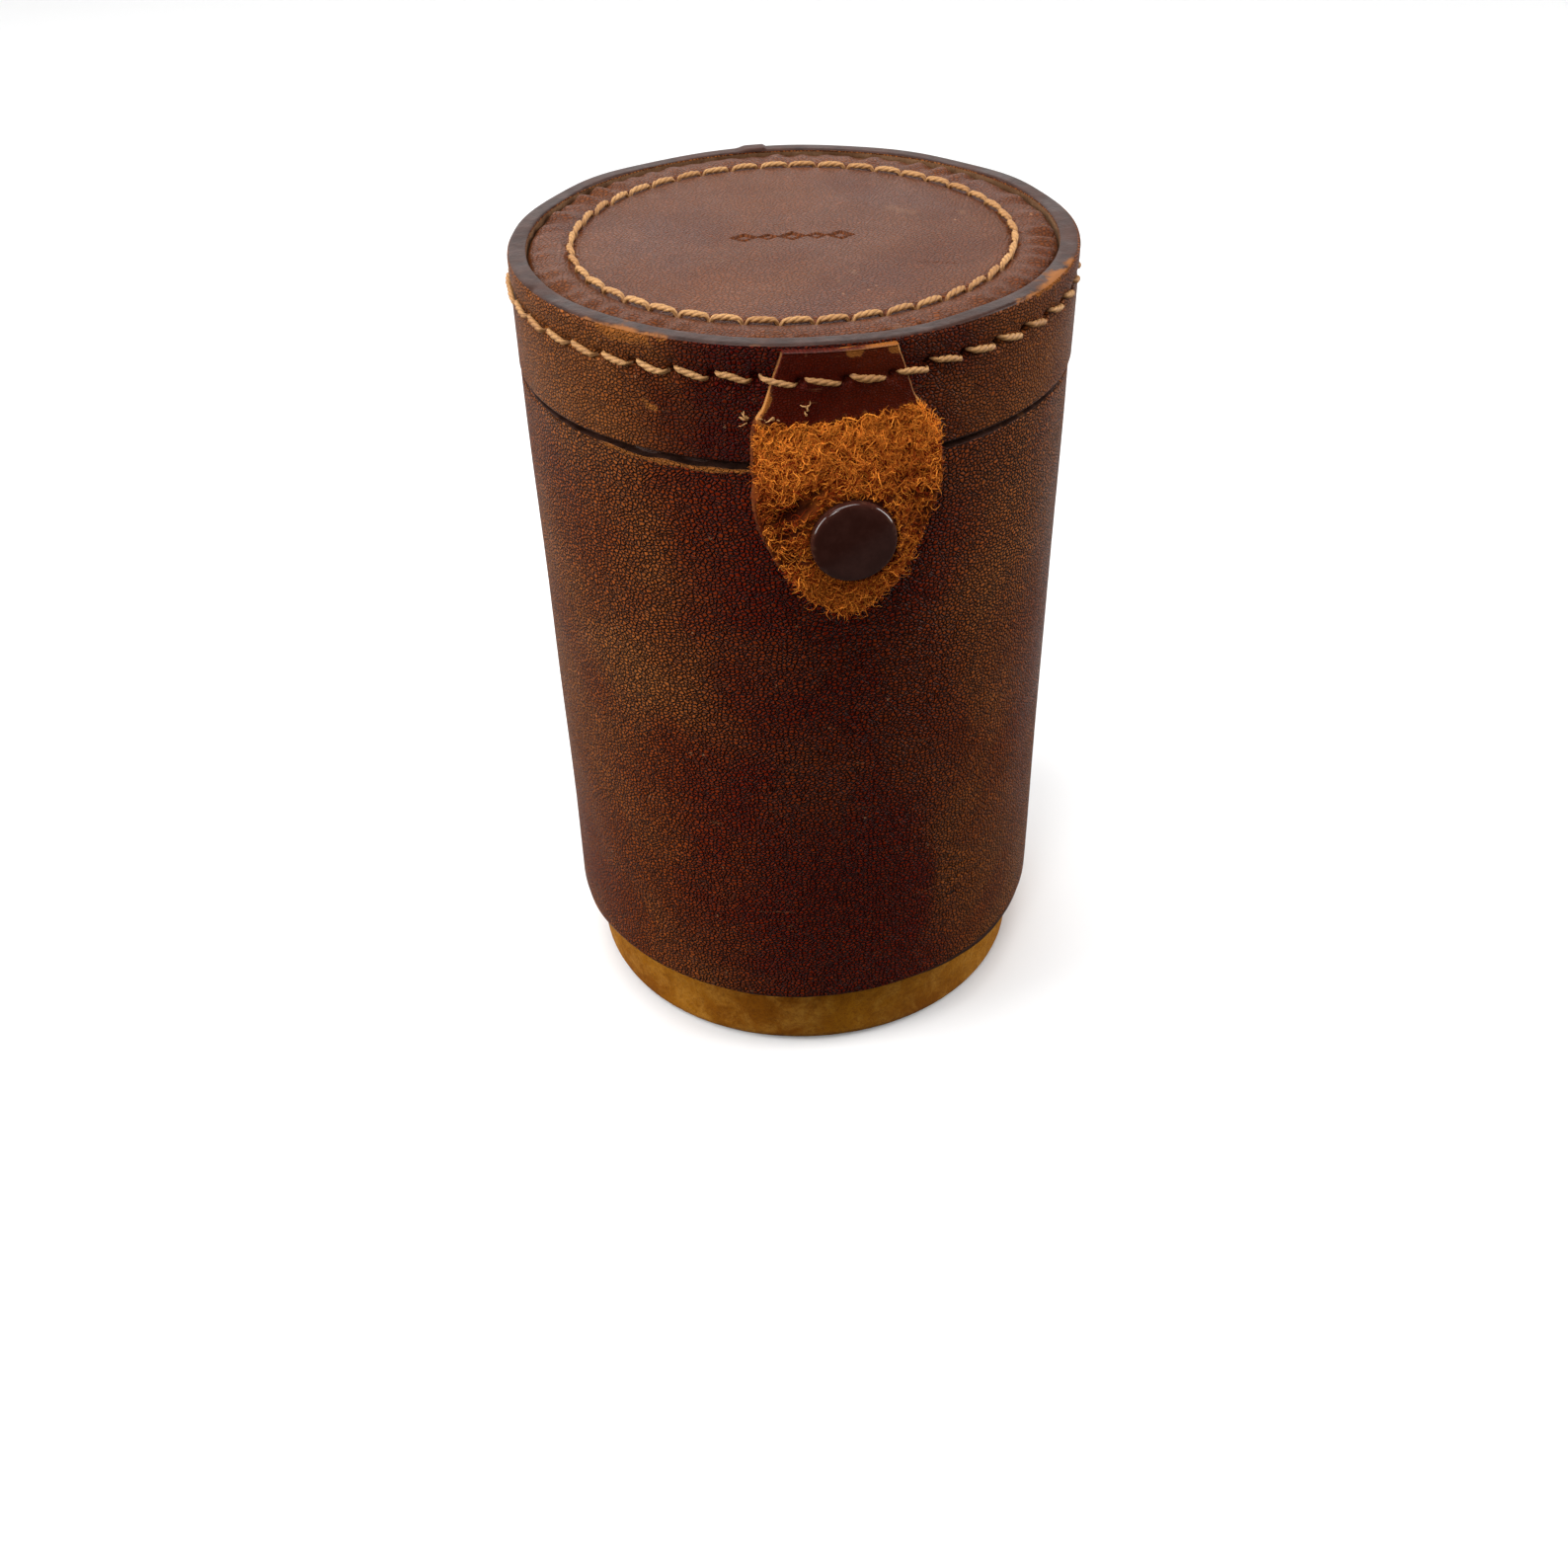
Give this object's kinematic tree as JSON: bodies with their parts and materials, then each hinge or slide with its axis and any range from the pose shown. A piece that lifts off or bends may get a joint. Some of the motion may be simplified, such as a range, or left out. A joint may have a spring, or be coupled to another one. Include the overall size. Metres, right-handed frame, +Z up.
{
  "type": "leather dice cup",
  "caption": "Round leather dice cup with a hinged, stitched lid and a tongue tab that closes on a snap fastener.",
  "frame": {"origin": "centre of the cup's underside, on the surface it stands on", "axes": "+Z up along the cup's axis; the snap tab is at -Y and the lid's hinge at +Y; +X to the right seen from the tab side"},
  "size_m": [0.0812, 0.0896, 0.124],
  "materials": {
    "tan_leather": "undyed tan leather with a napped, mottled surface",
    "brown_leather": "dark red-brown grain leather with a worn satin sheen",
    "worn_leather": "dark leather worn through to orange suede",
    "pressed_board": "pressed leather-fibre board",
    "lining_suede": "thin suede lining",
    "thread": "thick twisted golden-tan thread",
    "cap_enamel": "glossy dark brown enamel",
    "snap_metal": "dull plated brass"
  },
  "bodies": {
    "cup": {"inner_tube": "tan_leather", "base_disc": "tan_leather", "base_board": "pressed_board", "floor_lining": "lining_suede", "board_tube": "pressed_board", "outer_cover": "brown_leather", "snap_stud": "snap_metal", "stud_eyelet": "snap_metal", "hinge_strap_lower": "brown_leather", "hinge_stitches": "thread"},
    "lid": {"lid_band": "brown_leather", "lid_top": "brown_leather", "lid_board": "pressed_board", "lid_lining": "lining_suede", "top_stitches": "thread", "band_stitches": "thread", "tab_sewn_end": "brown_leather", "hinge_strap_upper": "brown_leather"},
    "tab": {"tab_flap": "worn_leather", "snap_cap": "cap_enamel", "snap_socket": "snap_metal", "socket_spring": "snap_metal"}
  },
  "joints": [
    {"name": "lid_hinge", "type": "hinge", "parent": "cup", "child": "lid", "pos_m": [0, 0.0424, 0.1075], "axis": [-1, 0, 0], "range_deg": [0, 175]},
    {"name": "tab_hinge", "type": "hinge", "parent": "lid", "child": "tab", "pos_m": [0, -0.0421, 0.113], "axis": [-1, 0, 0], "range_deg": [0, 110]}
  ]
}
